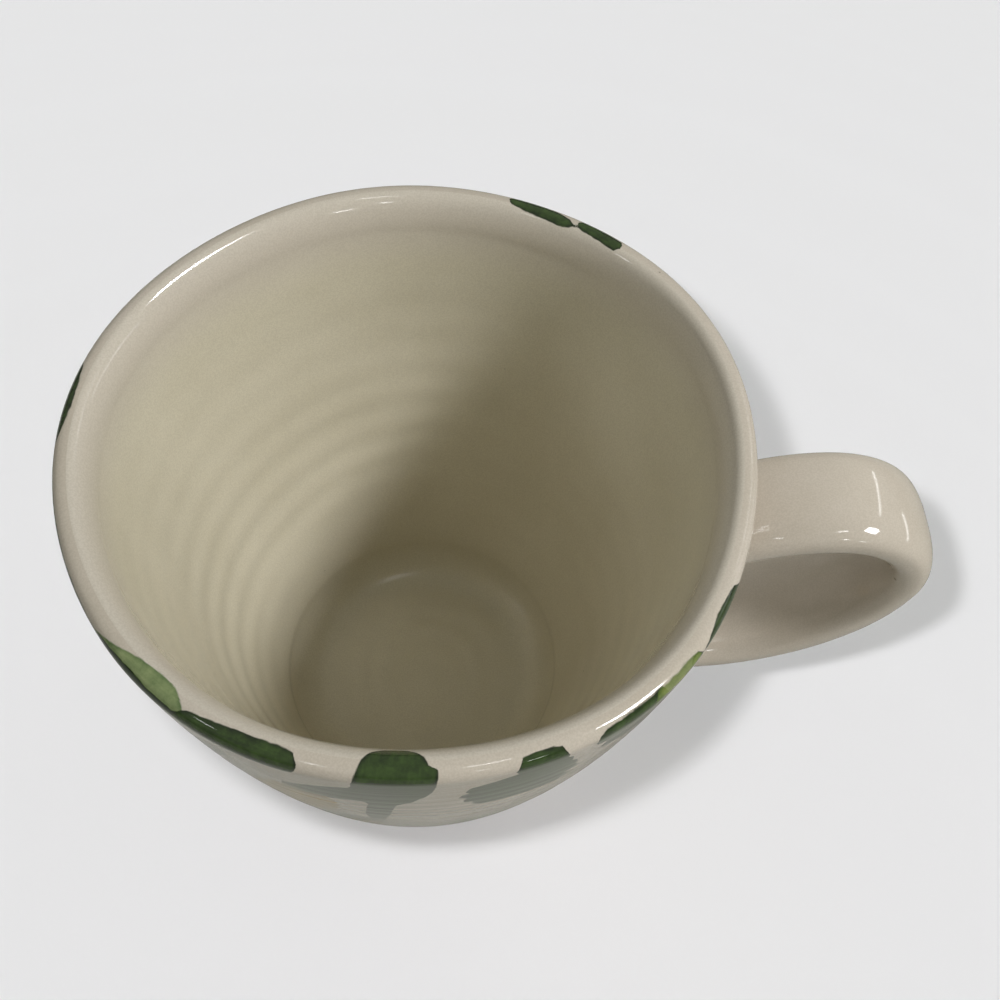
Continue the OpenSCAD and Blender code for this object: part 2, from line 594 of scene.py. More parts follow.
class SharedEffects:
    """Effects that several finishes use, each built once as a node group."""

    def __init__(self) -> None:
        """Builds the groups."""
        self.mottle = self.build_mottle()
        self.specks = self.build_specks()
        self.melt = self.build_melt()
        self.brush = self.build_brush()
        self.sand = self.build_sand()

    @staticmethod
    def build_mottle() -> bpy.types.NodeTree:
        """Builds the soft clouding of a glaze over clay and its grain.

        Returns:
            The group.
        """
        n, source, sink = new_group(
            "glaze mottle", {"Place": "vector", "Cloud scale": 38.0, "Grain scale": 4200.0},
            {"Cloud": "float", "Grain": "float"})
        cloud = n.add("TexNoise", inputs={"Detail": 4.0, "Roughness": 0.6})
        grain = n.add("TexNoise", inputs={"Detail": 2.0})
        for node, scale in ((cloud, "Cloud scale"), (grain, "Grain scale")):
            n.wire(source.outputs["Place"], node.inputs["Vector"])
            n.wire(source.outputs[scale], node.inputs["Scale"])
        n.wire(n.between(cloud.outputs["Fac"], 0.3, 0.7), sink.inputs["Cloud"])
        n.wire(grain.outputs["Fac"], sink.inputs["Grain"])
        return n.tree

    @staticmethod
    def build_specks() -> bpy.types.NodeTree:
        """Builds sparse dark pinholes: a mask that is 1 inside each.

        Returns:
            The group.
        """
        n, source, sink = new_group(
            "iron specks", {"Place": "vector", "Spacing": 240.0, "Share": 0.06, "Size": 0.09},
            {"Mask": "float"})
        cells = n.add("TexVoronoi")
        n.wire(source.outputs["Place"], cells.inputs["Vector"])
        n.wire(source.outputs["Spacing"], cells.inputs["Scale"])
        split = n.add("SeparateColor")
        n.wire(cells.outputs["Color"], split.inputs[0])
        chosen = n.math("LESS_THAN", split.outputs[0], source.outputs["Share"])
        size = n.times(source.outputs["Size"], n.plus(split.outputs[1], 0.5))
        dot = n.minus(1.0, n.math("DIVIDE", cells.outputs["Distance"], size), clamp=True)
        n.wire(n.times(chosen, n.math("POWER", dot, 0.5)), sink.inputs["Mask"])
        return n.tree

    @staticmethod
    def build_melt() -> bpy.types.NodeTree:
        """Builds the height of a melted glaze: slow waves, turning lines and fine pinholes.

        Returns:
            The group.
        """
        n, source, sink = new_group(
            "melted surface", {"Place": "vector", "Waves": 1.0, "Lines": 1.0, "Pits": 1.0},
            {"Height": "float"})
        place = source.outputs["Place"]
        waves = n.noise(place, 95.0, 2.0, 0.45)
        rings = n.noise(n.stretched(place, (18.0, 18.0, 1150.0)), 1.0, 3.0, 0.55)
        pits = n.noise(place, 2600.0, 2.0, 0.6)
        total = n.plus(n.times(waves, source.outputs["Waves"]),
                       n.times(rings, n.times(source.outputs["Lines"], 0.35)))
        fine = n.times(pits, n.times(source.outputs["Pits"], 0.05))
        n.wire(n.plus(total, fine), sink.inputs["Height"])
        return n.tree

    @staticmethod
    def build_brush() -> bpy.types.NodeTree:
        """Builds one colour's brushwork from its distance, run and side, all in millimetres.

        Returns:
            The group.
        """
        n, source, sink = new_group(
            "brushed colour",
            {"Stroke": "vector", "Place": "vector", "Edge": 0.16, "Ragged": 0.35, "Streaks": 0.5},
            {"Mask": "float", "Density": "float"})
        parts = n.add("SeparateXYZ")
        n.wire(source.outputs["Stroke"], parts.inputs[0])
        distance, run, side = parts.outputs
        lane = n.add("CombineXYZ")
        n.wire(n.times(run, 0.10), lane.inputs[0])
        n.wire(n.times(side, 1.9), lane.inputs[1])
        bristle = n.noise(lane.outputs[0], 1.0, 3.0, 0.6)
        tremble = n.noise(source.outputs["Place"], 620.0, 2.0)
        rough = n.times(n.minus(tremble, 0.5), source.outputs["Ragged"])
        comb = n.times(n.minus(bristle, 0.5), n.times(source.outputs["Ragged"], 0.9))
        edge = n.plus(distance, n.plus(rough, comb))
        mask = n.add("MapRange", interpolation_type="SMOOTHSTEP")
        n.wire(edge, mask.inputs["Value"])
        n.wire(source.outputs["Edge"], mask.inputs["From Max"])
        n.wire(mask.outputs["Result"], sink.inputs["Mask"])
        pool = n.minus(1.0, n.between(edge, 0.05, 0.75))
        wash = n.noise(source.outputs["Place"], 520.0, 4.0, 0.7)
        streak = n.times(n.minus(bristle, 0.5), source.outputs["Streaks"])
        cloudy = n.times(n.minus(wash, 0.5), 2.0)
        density = n.plus(n.plus(0.42, n.times(streak, 2.2)),
                         n.plus(cloudy, n.times(pool, 0.55)), clamp=True)
        n.wire(density, sink.inputs["Density"])
        return n.tree

    @staticmethod
    def build_sand() -> bpy.types.NodeTree:
        """Builds bare stoneware: grain, grog and the arcs of the turning tool.

        Returns:
            The group.
        """
        n, source, sink = new_group(
            "bare clay grain", {"Place": "vector", "Turning": 1.0},
            {"Tone": "float", "Height": "float", "Grog": "float"})
        place = source.outputs["Place"]
        soft = n.noise(place, 120.0, 4.0, 0.65)
        grain = n.noise(place, 2400.0, 3.0, 0.7)
        grog = n.add("TexVoronoi", inputs={"Scale": 900.0})
        n.wire(place, grog.inputs["Vector"])
        grit = n.minus(1.0, n.between(grog.outputs["Distance"], 0.05, 0.28))
        turned = n.noise(n.stretched(place, (30.0, 30.0, 2600.0)), 1.0, 2.0)
        n.wire(n.plus(n.times(soft, 0.7), n.times(grain, 0.3)), sink.inputs["Tone"])
        rough = n.plus(n.times(grain, 0.6), n.times(grit, 0.35))
        tooled = n.times(turned, source.outputs["Turning"])
        n.wire(n.plus(rough, tooled), sink.inputs["Height"])
        n.wire(grit, sink.inputs["Grog"])
        return n.tree


# ---------------------------------------------------------------- finishes


def new_material(name: str) -> tuple[Nodes, bpy.types.Node, bpy.types.NodeSocket]:
    """Starts a material.

    Args:
        name: the material's name.

    Returns:
        Its nodes, its Principled shader and its object coordinates.
    """
    material = bpy.data.materials.new(name)
    material.use_nodes = True
    nodes = Nodes(material.node_tree)
    shader = material.node_tree.nodes["Principled BSDF"]
    place = nodes.add("TexCoord").outputs["Object"]
    return nodes, shader, place


class Pigment(Enum):
    """The painter's colours, each with the name of the mesh attribute that holds its strokes."""

    DARK_GREEN = "dark_green_brush"
    LEAF_GREEN = "leaf_green_brush"
    YOUNG_GREEN = "young_green_brush"
    OCHRE = "ochre_brush"


@dataclass(frozen=True)
class PigmentFinish:
    """How one colour looks under the glaze: thin and thick are its colours where it is."""

    pigment: Pigment
    thin: Colour
    thick: Colour
    cover: float
    ragged: float
    streaks: float
    edge: float


@dataclass(frozen=True)
class GlazeFinish:
    """Clear glossy glaze over a cream body, painted or plain."""

    name: str
    pale: Colour
    deep: Colour
    waves: float
    lines: float
    speck_share: float
    gloss: tuple[float, float] = (0.045, 0.10)
    ior: float = 1.52
    grain: Colour = (0.33, 0.28, 0.21)
    grain_share: float = 0.20
    speck: Colour = (0.07, 0.05, 0.035)
    speck_cover: float = 0.75
    paints: tuple[PigmentFinish, ...] = ()
    lip: Colour | None = None
    lip_band: tuple[float, float] = (82 * MM, 94 * MM)
    haze: float = 0.16
    haze_band: tuple[float, float] = (20 * MM, 75 * MM)

    def build(self, effects: SharedEffects) -> bpy.types.Material:
        """Makes the material.

        Args:
            effects: the shared node groups.

        Returns:
            The material.
        """
        n, shader, place = new_material(self.name)
        mottle = n.group(effects.mottle, place=place)
        specks = n.group(effects.specks, place=place, share=self.speck_share)
        melt = n.group(effects.melt, place=place, waves=self.waves, lines=self.lines)
        tone = n.blend(mottle.outputs["Cloud"], self.pale, self.deep)
        low, high = self.gloss
        rough = n.add("MapRange", inputs={"To Min": low, "To Max": high})
        n.wire(mottle.outputs["Cloud"], rough.inputs["Value"])
        sheen = rough.outputs["Result"]
        if self.lip:
            parts = n.add("SeparateXYZ")
            n.wire(place, parts.inputs[0])
            height = parts.outputs["Z"]
            # On the inside the glaze keeps its own colour at the lip and fades below it to the
            # liner colours, which carry a painted tint of light bounced round inside the cup.
            tone = n.blend(n.between(height, *self.lip_band), tone, self.lip)
            deep = n.minus(1.0, n.between(height, *self.haze_band))
            sheen = n.math("MULTIPLY_ADD", deep, self.haze, sheen)
        grain = n.between(mottle.outputs["Grain"], 0.35, 0.65)
        colour = n.blend(n.times(grain, self.grain_share), tone, self.grain)
        for paint in self.paints:
            stroke = n.add("Attribute", attribute_name=paint.pigment.value).outputs["Vector"]
            brush = n.group(effects.brush, stroke=stroke, place=place, edge=paint.edge,
                            ragged=paint.ragged, streaks=paint.streaks)
            shade = n.blend(brush.outputs["Density"], paint.thin, paint.thick)
            cover = n.times(brush.outputs["Mask"], paint.cover)
            colour = n.blend(cover, colour, shade)
        dark = n.times(specks.outputs["Mask"], self.speck_cover)
        n.wire(n.blend(dark, colour, self.speck), shader.inputs["Base Color"])
        n.wire(sheen, shader.inputs["Roughness"])
        shader.inputs["IOR"].default_value = self.ior
        bump = n.add("Bump", inputs={"Strength": 0.35, "Distance": 0.25 * MM})
        n.wire(melt.outputs["Height"], bump.inputs["Height"])
        n.wire(bump.outputs["Normal"], shader.inputs["Normal"])
        return bpy.data.materials[self.name]


@dataclass(frozen=True)
class BareClayFinish:
    """Fired stoneware left bare, or hidden under the glaze."""

    name: str
    pale: Colour
    deep: Colour
    turning: float
    grog: Colour = (0.16, 0.11, 0.07)
    grog_share: float = 0.18

    def build(self, effects: SharedEffects) -> bpy.types.Material:
        """Makes the material.

        Args:
            effects: the shared node groups.

        Returns:
            The material.
        """
        n, shader, place = new_material(self.name)
        sand = n.group(effects.sand, place=place, turning=self.turning)
        tone = n.blend(n.between(sand.outputs["Tone"], 0.35, 0.65), self.pale, self.deep)
        colour = n.blend(n.times(sand.outputs["Grog"], self.grog_share), tone, self.grog)
        n.wire(colour, shader.inputs["Base Color"])
        rough = n.add("MapRange", inputs={"To Min": 0.72, "To Max": 0.92})
        n.wire(sand.outputs["Tone"], rough.inputs["Value"])
        n.wire(rough.outputs["Result"], shader.inputs["Roughness"])
        bump = n.add("Bump", inputs={"Strength": 0.5, "Distance": 0.15 * MM})
        n.wire(sand.outputs["Height"], bump.inputs["Height"])
        n.wire(bump.outputs["Normal"], shader.inputs["Normal"])
        return bpy.data.materials[self.name]


@dataclass
class Finishes:
    """Every finish on the mug, built once."""

    effects: SharedEffects = field(default_factory=SharedEffects)

    def __post_init__(self) -> None:
        """Builds the materials."""
        cream, cream_deep = (0.590, 0.530, 0.455), (0.540, 0.480, 0.400)
        # Painted light: the liner colours are yellower and paler than the same glaze on the lip
        # and outside, a tint that stands in for warm light bounced round inside the cup; the cream
        # under it is the glaze's own colour.
        liner, liner_deep = (0.690, 0.642, 0.510), (0.640, 0.592, 0.460)
        lip = (0.600, 0.547, 0.467)
        clay_deep = (0.40, 0.30, 0.20)
        paints = (
            PigmentFinish(Pigment.OCHRE, (0.50, 0.34, 0.10), (0.38, 0.23, 0.05),
                          cover=0.92, ragged=0.5, streaks=0.5, edge=0.9),
            PigmentFinish(Pigment.LEAF_GREEN, (0.25, 0.31, 0.13), (0.07, 0.13, 0.035),
                          cover=0.94, ragged=0.4, streaks=0.45, edge=0.25),
            PigmentFinish(Pigment.DARK_GREEN, (0.042, 0.082, 0.016), (0.007, 0.017, 0.004),
                          cover=0.98, ragged=0.45, streaks=0.35, edge=0.2),
            PigmentFinish(Pigment.YOUNG_GREEN, (0.23, 0.27, 0.07), (0.08, 0.13, 0.025),
                          cover=0.88, ragged=0.6, streaks=0.5, edge=0.3),
        )
        painted = GlazeFinish("painted glaze", cream, cream_deep, 0.6, 1.0, 0.05, paints=paints)
        plain = GlazeFinish("plain glaze", cream, cream_deep, 0.7, 0.0, 0.05)
        inner = GlazeFinish("liner glaze", liner, liner_deep, 0.8, 0.35, 0.04,
                            paints=paints, lip=lip)
        clay = BareClayFinish("fired clay", (0.50, 0.39, 0.27), clay_deep, 0.3)
        foot = BareClayFinish("bare turned clay", (0.52, 0.41, 0.29), clay_deep, 0.9)
        self.painted = painted.build(self.effects)
        self.plain = plain.build(self.effects)
        self.liner = inner.build(self.effects)
        self.clay = clay.build(self.effects)
        self.foot = foot.build(self.effects)


# ---------------------------------------------------------------- brushwork


@dataclass(frozen=True)
class BrushMark:
    """One stroke of the brush on the unrolled wall. Lengths are in millimetres.

    azimuth is in degrees round the cup from the handle and drop is the distance down from
    the lip's crest, both where the stroke starts. heading is in degrees: 0 goes on round
    the cup and -90 goes straight down. bow bends the stroke to its left, point sharpens its
    ends from 0 to 1, and belly says where along its length a pointed stroke is widest.
    """

    pigment: Pigment
    azimuth: float
    drop: float
    heading: float
    length: float
    width: float
    bow: float = 0.0
    point: float = 0.0
    belly: float = 0.42

    def measure(self, angle: np.ndarray, drop: np.ndarray,
                radius: np.ndarray) -> tuple[np.ndarray, ...]:
        """Measures every point of the wall against the stroke.

        Args:
            angle: degrees round the cup.
            drop: millimetres down from the crest.
            radius: millimetres from the axis.

        Returns:
            Distance inside the stroke's edge, run along it and side across it.
        """
        turn = (angle - self.azimuth + 180) % 360 - 180
        round_the_cup = np.radians(turn) * radius
        up = self.drop - drop
        way = radians(self.heading)
        run = round_the_cup * cos(way) + up * sin(way)
        side = -round_the_cup * sin(way) + up * cos(way)
        share = np.clip(run / self.length, 0, 1)
        side = side - self.bow * 4 * share * (1 - share)
        blunt = (1 - np.abs(2 * share - 1) ** 14) ** 0.5
        leaf = np.sin(pi * share ** (log2(0.5) / log2(self.belly))) ** 0.75
        half = self.width / 2 * (blunt * (1 - self.point) + leaf * self.point)
        across = half - np.abs(side)
        over_end = np.maximum(-run, run - self.length)
        inside = np.where(over_end > 0, np.minimum(-over_end, across), across)
        return inside, run, side


@dataclass
class LeafPainting:
    """Leaves and sprigs brushed round the cup before it was glazed. Lengths are in millimetres.

    Each stroke of a colour shifts its run and its side by its own amount, so that no two
    strokes show the same streaks.
    """

    seed: int = 7
    bough_count: int = 7
    leaves_on_bough: int = 5
    stem_length: float = 46.0
    stem_width: float = 1.9
    stem_bow: float = 3.5
    run_shift: float = 37.0
    side_shift: float = 11.0
    unpainted: float = -3.0

    def rim_leaves(self) -> list[BrushMark]:
        """Lists the leaves that run over the lip.

        Returns:
            The strokes.
        """
        dark, leaf = Pigment.DARK_GREEN, Pigment.LEAF_GREEN
        young, ochre = Pigment.YOUNG_GREEN, Pigment.OCHRE
        return [
            # the leaf in the middle of the near side, with its stem and its side leaf
            BrushMark(dark, -89.3, 0.1, 264, 5.6, 8.7),
            BrushMark(dark, -89.5, -2.0, 262, 20.0, 9.4, 0.3, 0.9, 0.34),
            BrushMark(dark, -91.0, 9.0, 264, 26.0, 3.4, -0.6, 0.6),
            BrushMark(dark, -91.5, 6.5, 211, 14.5, 7.6, 0.8, 0.6),
            # the broad leaf to its right, laid on in side strokes
            BrushMark(dark, -65.2, 3.0, 181, 6.1, 4.4, 0.0, 0.2, 0.5),
            BrushMark(dark, -64.0, 5.0, 200, 13.0, 5.0, -0.5, 0.3),
            BrushMark(dark, -62.5, 8.5, 197, 14.5, 5.2, -0.4, 0.3),
            BrushMark(dark, -61.5, 12.5, 192, 14.5, 5.2, 0.0, 0.4),
            BrushMark(dark, -61.5, 17.0, 186, 13.0, 5.0, 0.4, 0.6),
            # two short strokes and a young leaf on the right of the lip
            BrushMark(dark, -60.3, 3.4, 2, 10.4, 3.8, 0.0),
            BrushMark(dark, -58.8, 7.0, -12, 11.0, 4.4, 0.0, 0.4),
            BrushMark(young, -50.4, 2.75, 0, 9.2, 2.7, 0.2, 0.1),
            BrushMark(dark, -42.0, 2.5, 2, 2.7, 2.0, 0.0, 0.3),
            BrushMark(dark, -38.0, 3.4, 4, 10.2, 3.4, 0.3, 0.45),
            BrushMark(dark, -33.0, 8.0, -60, 18.0, 6.0, 1.0, 0.9),
            # the pale leaf and the blunt dark one on the left of the lip
            BrushMark(leaf, -144.5, 2.75, 2, 18.2, 5.4, 0.2, 0.95, 0.68),
            BrushMark(dark, -122.8, 2.5, 2, 14.9, 3.4, 0.5, 0.15, 0.7),
            BrushMark(dark, -143.5, 3.8, 2, 17.0, 3.4, 0.2, 0.3),
            BrushMark(dark, -116.0, 7.0, 222, 16.0, 5.0, 1.0, 0.8),
            BrushMark(ochre, -103.5, 13.0, 246, 34.0, 13.0, 1.0, 0.8),
            BrushMark(ochre, -96.0, 40.0, 200, 14.0, 8.0, 1.0, 0.8),
            # the far left, seen only as an edge
            BrushMark(dark, -177.6, 3.3, 0, 29.0, 2.9, 0.0, 0.3),
            BrushMark(leaf, -150.0, 8.0, 215, 18.0, 6.0, 1.0, 0.9),
            BrushMark(dark, 167.3, 2.5, 1, 13.6, 3.4, 0.2, 0.75),
            BrushMark(dark, 174.0, 7.5, -120, 20.0, 6.5, -1.2, 0.85),
            # two strokes that cross the lip on the far side
            BrushMark(dark, 75.0, 0.8, 174, 10.4, 2.8, 0.0, 0.5),
            BrushMark(dark, 60.4, 0.6, 176, 7.2, 2.5, 0.0, 0.1),
            BrushMark(dark, 62.0, 7.0, -50, 20.0, 7.0, -1.5, 0.8),
            BrushMark(leaf, 76.0, 9.0, -65, 19.0, 6.0, 1.5, 0.9),
            BrushMark(dark, 104.0, 7.0, -112, 19.0, 6.5, -1.4, 0.9),
            BrushMark(leaf, 112.0, 15.0, -58, 17.0, 5.8, 1.2, 0.9),
            BrushMark(ochre, 128.0, 8.0, -80, 15.0, 8.0, 0.8, 0.8),
            BrushMark(dark, 137.0, 10.0, -125, 18.0, 6.3, -1.2, 0.9),
            BrushMark(dark, 30.0, 9.0, -95, 17.0, 6.2, 1.0, 0.9),
        ]

    def boughs(self) -> list[BrushMark]:
        """Lays out the sprigs on the lower wall, each a stem with leaves to left and right.

        Returns:
            The strokes.
        """
        rng = np.random.default_rng(self.seed)
        marks = []
        for i in range(self.bough_count):
            azimuth = 26.0 + 360.0 * i / self.bough_count + rng.uniform(-5, 5)
            lean = rng.uniform(58, 76)
            start = 84.0 + rng.uniform(-3, 2)
            marks.append(BrushMark(Pigment.DARK_GREEN, azimuth, start, lean, self.stem_length,
                                   self.stem_width, self.stem_bow, 0.3))
            for j in range(self.leaves_on_bough):
                marks.append(self.bough_leaf(rng, azimuth, start, lean, j))
            marks.append(BrushMark(Pigment.OCHRE, azimuth + 17, start - 20 - rng.uniform(0, 14),
                                   rng.uniform(20, 60), 13.0, 8.0, 0.0, 0.7))
        return marks

    def bough_leaf(self, rng: np.random.Generator, azimuth: float, start: float, lean: float,
                   order: int) -> BrushMark:
        """Sets one leaf on a sprig.

        Args:
            rng: the painter's chance.
            azimuth: where the stem starts, in degrees.
            start: how far down the stem starts.
            lean: the stem's heading, in degrees.
            order: the leaf's place on the stem, from the bottom.

        Returns:
            The leaf's stroke.
        """
        run = 5.0 + 9.0 * order
        wall_r = 30.0 + 2.6 * order
        share = run / self.stem_length
        bow = self.stem_bow * 4 * share * (1 - share)
        along, across = cos(radians(lean)), sin(radians(lean))
        foot_azimuth = azimuth + degrees((run * along - bow * across) / wall_r)
        foot_drop = start - run * across - bow * along
        left = 1 if order % 2 else -1
        pale = (order + rng.integers(0, 2)) % 3 == 0
        return BrushMark(Pigment.LEAF_GREEN if pale else Pigment.DARK_GREEN, foot_azimuth,
                         foot_drop, lean + left * rng.uniform(38, 58), rng.uniform(14, 19),
                         rng.uniform(5.2, 7.4), left * rng.uniform(-1.6, 0.4), 0.9)

    def brush_on(self, mesh: bpy.types.Mesh, form: WallForm, face: Face) -> None:
        """Writes each colour's strokes to the mesh as a vector attribute.

        Args:
            mesh: a glass coat before it is worked out of round.
            form: the cup's section.
            face: the side of the wall that it covers.
        """
        x, y, z = points_of(mesh).T
        radius, angle = np.hypot(x, y), np.degrees(np.arctan2(y, x))
        drop = self.drop_from_crest(radius, z, form) * face.value
        marks = self.rim_leaves() + self.boughs()
        for pigment in Pigment:
            best = np.full(len(x), self.unpainted)
            run, side = np.zeros(len(x)), np.zeros(len(x))
            for k, mark in enumerate(m for m in marks if m.pigment is pigment):
                inside, along, across = mark.measure(angle, drop, radius / MM)
                wins = inside > best
                best = np.where(wins, inside, best)
                run = np.where(wins, along + self.run_shift * k, run)
                side = np.where(wins, across + self.side_shift * k, side)
            layer = mesh.attributes.new(pigment.value, "FLOAT_VECTOR", "POINT")
            layer.data.foreach_set("vector", np.stack([best, run, side], axis=1).ravel())

    @staticmethod
    def drop_from_crest(radius: np.ndarray, z: np.ndarray, form: WallForm) -> np.ndarray:
        """Gives the distance down the skin from the lip's crest.

        Args:
            radius: distances from the axis, in metres.
            z: heights, in metres.
            form: the cup's section.

        Returns:
            Distances in millimetres.
        """
        on_lip = np.where(z > form.wall_top, np.abs(radius - form.crest_r), form.lip_t / 2)
        over_lip = np.hypot(on_lip, form.cup_h - np.maximum(z, form.wall_top))
        down_wall = np.maximum(form.wall_top - z, 0) * 1.02
        return (over_lip + down_wall) / MM


# ---------------------------------------------------------------- sub-assemblies


@dataclass
class ThrownCup:
    """The thrown cup, its turned foot and the glass coats on both."""

    form: WallForm
    hand: ThrowingHand
    painting: LeafPainting
    turns: int = 300
    wall_steps: int = 110
    hidden_steps: int = 56
    floor_steps: int = 22
    recess_steps: int = 16

    def build(self, finishes: Finishes) -> list[bpy.types.Object]:
        """Makes the cup's pieces.

        Args:
            finishes: the materials.

        Returns:
            The pieces.
        """
        return [self.clay(finishes), self.foot(finishes), self.liner(finishes),
                self.outer_coat(finishes), self.recess_coat(finishes)]

    def worked(self, profile: Profile, name: str, ring: bool, turns: int) -> bpy.types.Mesh:
        """Spins an outline and lets the potter's hands work it.

        Args:
            profile: points (radius, height).
            name: the mesh's name.
            ring: whether the outline closes on itself.
            turns: steps round the cup.

        Returns:
            The mesh.
        """
        mesh = finished_mesh(spun(profile, turns, ring), name)
        self.hand.work(mesh)
        return mesh

    def painted(self, profile: Profile, name: str, face: Face) -> bpy.types.Mesh:
        """Spins a glass coat, brushes the leaves on it and lets the potter's hands work it.

        Args:
            profile: points (radius, height).
            name: the mesh's name.
            face: the side of the wall that it covers; the outside one closes on itself.

        Returns:
            The mesh.
        """
        mesh = finished_mesh(spun(profile, self.turns, face is Face.OUTSIDE), name)
        self.painting.brush_on(mesh, self.form, face)
        self.hand.work(mesh)
        return mesh

    def clay(self, finishes: Finishes) -> bpy.types.Object:
        """Makes the fired clay of the wall and the floor.

        Args:
            finishes: the materials.

        Returns:
            The piece.
        """
        form = self.form
        outside = form.outside(form.foot_h, form.glaze_t, self.hidden_steps)
        inside = form.inside(form.glaze_t, self.hidden_steps, self.floor_steps)
        profile = [(0.0, form.foot_h)] + outside[::-1] + inside[1:]
        mesh = self.worked(profile, "clay_cup_body", False, self.turns // 2)
        return placed(mesh, finishes.clay, "clay_cup")

    def foot(self, finishes: Finishes) -> bpy.types.Object:
        """Makes the bare ring that the mug stands on, with rounded and faintly turned edges.

        Args:
            finishes: the materials.

        Returns:
            The piece.
        """
        form = self.form
        inner = form.foot_r - form.foot_w
        outer_low = form.outer_r(0) - form.glaze_t
        bevel = form.foot_bevel
        arc = np.linspace(0, pi / 2, 7)
        outer_wall = [(form.outer_r(z) - form.glaze_t, z)
                      for z in np.linspace(form.foot_h, bevel, 9)]
        outer_edge = [(outer_low - bevel + bevel * cos(a), bevel - bevel * sin(a))
                      for a in arc[1:]]
        tread = np.linspace(outer_low - bevel, inner + bevel, 9)[1:-1]
        sole = [(r, 0.0) for r in tread]
        inner_edge = [(inner + bevel - bevel * sin(a), bevel - bevel * cos(a)) for a in arc]
        inner_wall = [(inner, z) for z in np.linspace(bevel, form.foot_h, 5)[1:]]
        profile = outer_wall + outer_edge + sole + inner_edge + inner_wall
        mesh = self.worked(profile, "turned_foot_ring", True, self.turns // 2)
        return placed(mesh, finishes.foot, "foot_ring")

    def liner(self, finishes: Finishes) -> bpy.types.Object:
        """Makes the glass coat inside, with its finger rings.

        Args:
            finishes: the materials.

        Returns:
            The piece.
        """
        form = self.form
        skin = form.inside(0.0, self.wall_steps, self.floor_steps)
        back = form.inside(form.glaze_t, self.hidden_steps, self.floor_steps)
        mesh = self.painted(skin[::-1] + back, "inside_glaze_coat", Face.INSIDE)
        return placed(mesh, finishes.liner, "inside_glaze")

    def outer_coat(self, finishes: Finishes) -> bpy.types.Object:
        """Makes the glass coat outside and brushes the leaves on it.

        Args:
            finishes: the materials.

        Returns:
            The piece.
        """
        form = self.form
        skin = form.outside(form.glaze_line, 0.0, self.wall_steps)
        radius, low = skin[-1]
        rolled_edge = [(radius - form.glaze_t * (1 - cos(a)), low - 0.5 * form.glaze_t * sin(a))
                       for a in np.linspace(0, pi / 2, 5)[1:-1]]
        back = form.outside(form.glaze_line, form.glaze_t, self.hidden_steps)
        profile = skin + rolled_edge + back[::-1]
        mesh = self.painted(profile, "outside_glaze_coat", Face.OUTSIDE)
        return placed(mesh, finishes.painted, "outside_glaze")

    def recess_coat(self, finishes: Finishes) -> bpy.types.Object:
        """Makes the glass coat under the floor, pooled to a round edge.

        Args:
            finishes: the materials.

        Returns:
            The piece.
        """
        form = self.form
        edge_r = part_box("base_glaze")[1].x
        half = form.glaze_t / 2
        rim = [(edge_r - half + half * cos(a), form.foot_h - half - half * sin(a))
               for a in np.linspace(-pi / 2, pi / 2, 7)]
        under = [((edge_r - half) * (1 - i / self.recess_steps), form.foot_h - form.glaze_t)
                 for i in range(1, self.recess_steps + 1)]
        profile = [(0.0, form.foot_h)] + rim + under
        mesh = finished_mesh(spun(profile, self.turns // 2, False), "foot_recess_coat")
        return placed(mesh, finishes.plain, "base_glaze")


@dataclass(frozen=True)
class Bend:
    """One arc of the strap: its radius in metres and its turn in degrees."""

    radius: float
    turn: float


